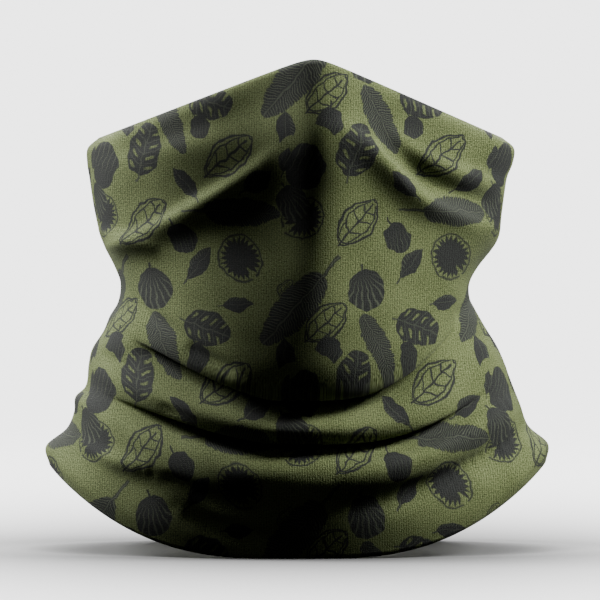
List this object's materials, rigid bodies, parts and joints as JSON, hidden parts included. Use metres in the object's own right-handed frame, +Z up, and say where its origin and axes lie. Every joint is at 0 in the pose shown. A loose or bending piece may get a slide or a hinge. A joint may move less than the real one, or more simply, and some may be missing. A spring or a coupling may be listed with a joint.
{
  "type": "neck gaiter",
  "caption": "Tubular printed-jersey neck gaiter in its worn shape: over nose and cheeks, slack in rolls under the chin, flared hem, open right through.",
  "frame": {"origin": "centre of the bounding box at its lowest point, where the hem rests", "axes": "+Z up through the neck opening, -Y out of the face, +X towards the side on the viewer's right when facing it"},
  "size_m": [0.212, 0.1926, 0.206],
  "materials": {
    "jersey": "matt brushed microfibre jersey with a fine vertical knit, printed with dark leaves",
    "thread": "satin polyester sewing thread",
    "label_satin": "woven satin, blank"
  },
  "bodies": {
    "tube": {"knit_tube": "jersey", "seam_needle_thread_left": "thread", "seam_needle_thread_right": "thread", "seam_cover_thread": "thread", "seam_inner_thread": "thread"},
    "label": {"care_label": "label_satin"}
  },
  "joints": [
    {"name": "label_flip", "type": "hinge", "parent": "tube", "child": "label", "pos_m": [0.0038, 0.08157, 0.034], "axis": [0, 0, -1], "range_deg": [0, 110]}
  ]
}
